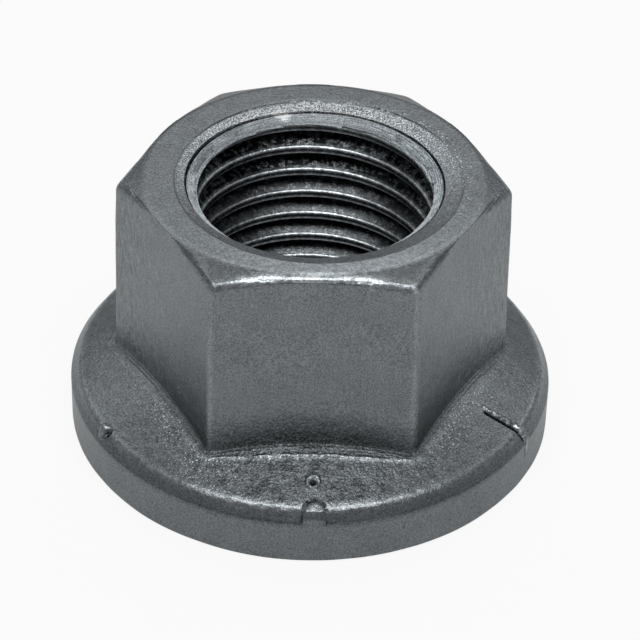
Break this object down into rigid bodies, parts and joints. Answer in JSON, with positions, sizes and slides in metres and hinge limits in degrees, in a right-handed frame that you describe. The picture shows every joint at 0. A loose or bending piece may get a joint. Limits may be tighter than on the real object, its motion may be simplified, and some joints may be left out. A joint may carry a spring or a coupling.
{
  "type": "flange nut",
  "caption": "Hexagon nut with a sloping flange, a chamfered top and a tapped through hole.",
  "frame": {"origin": "centre of the bearing face, on the thread's axis, at the bottom of the nut", "axes": "+Z along the thread's axis from the bearing face to the hexagon's top; +X through two opposite corners of the hexagon, so that a flat faces -Y"},
  "size_m": [0.0226, 0.0226, 0.0132],
  "materials": {
    "phosphated_steel": "dark grey phosphated and oiled forged steel, satin, with turned streaks at the thread's mouth"
  },
  "bodies": {
    "root": {"flange_nut": "phosphated_steel"}
  },
  "joints": []
}
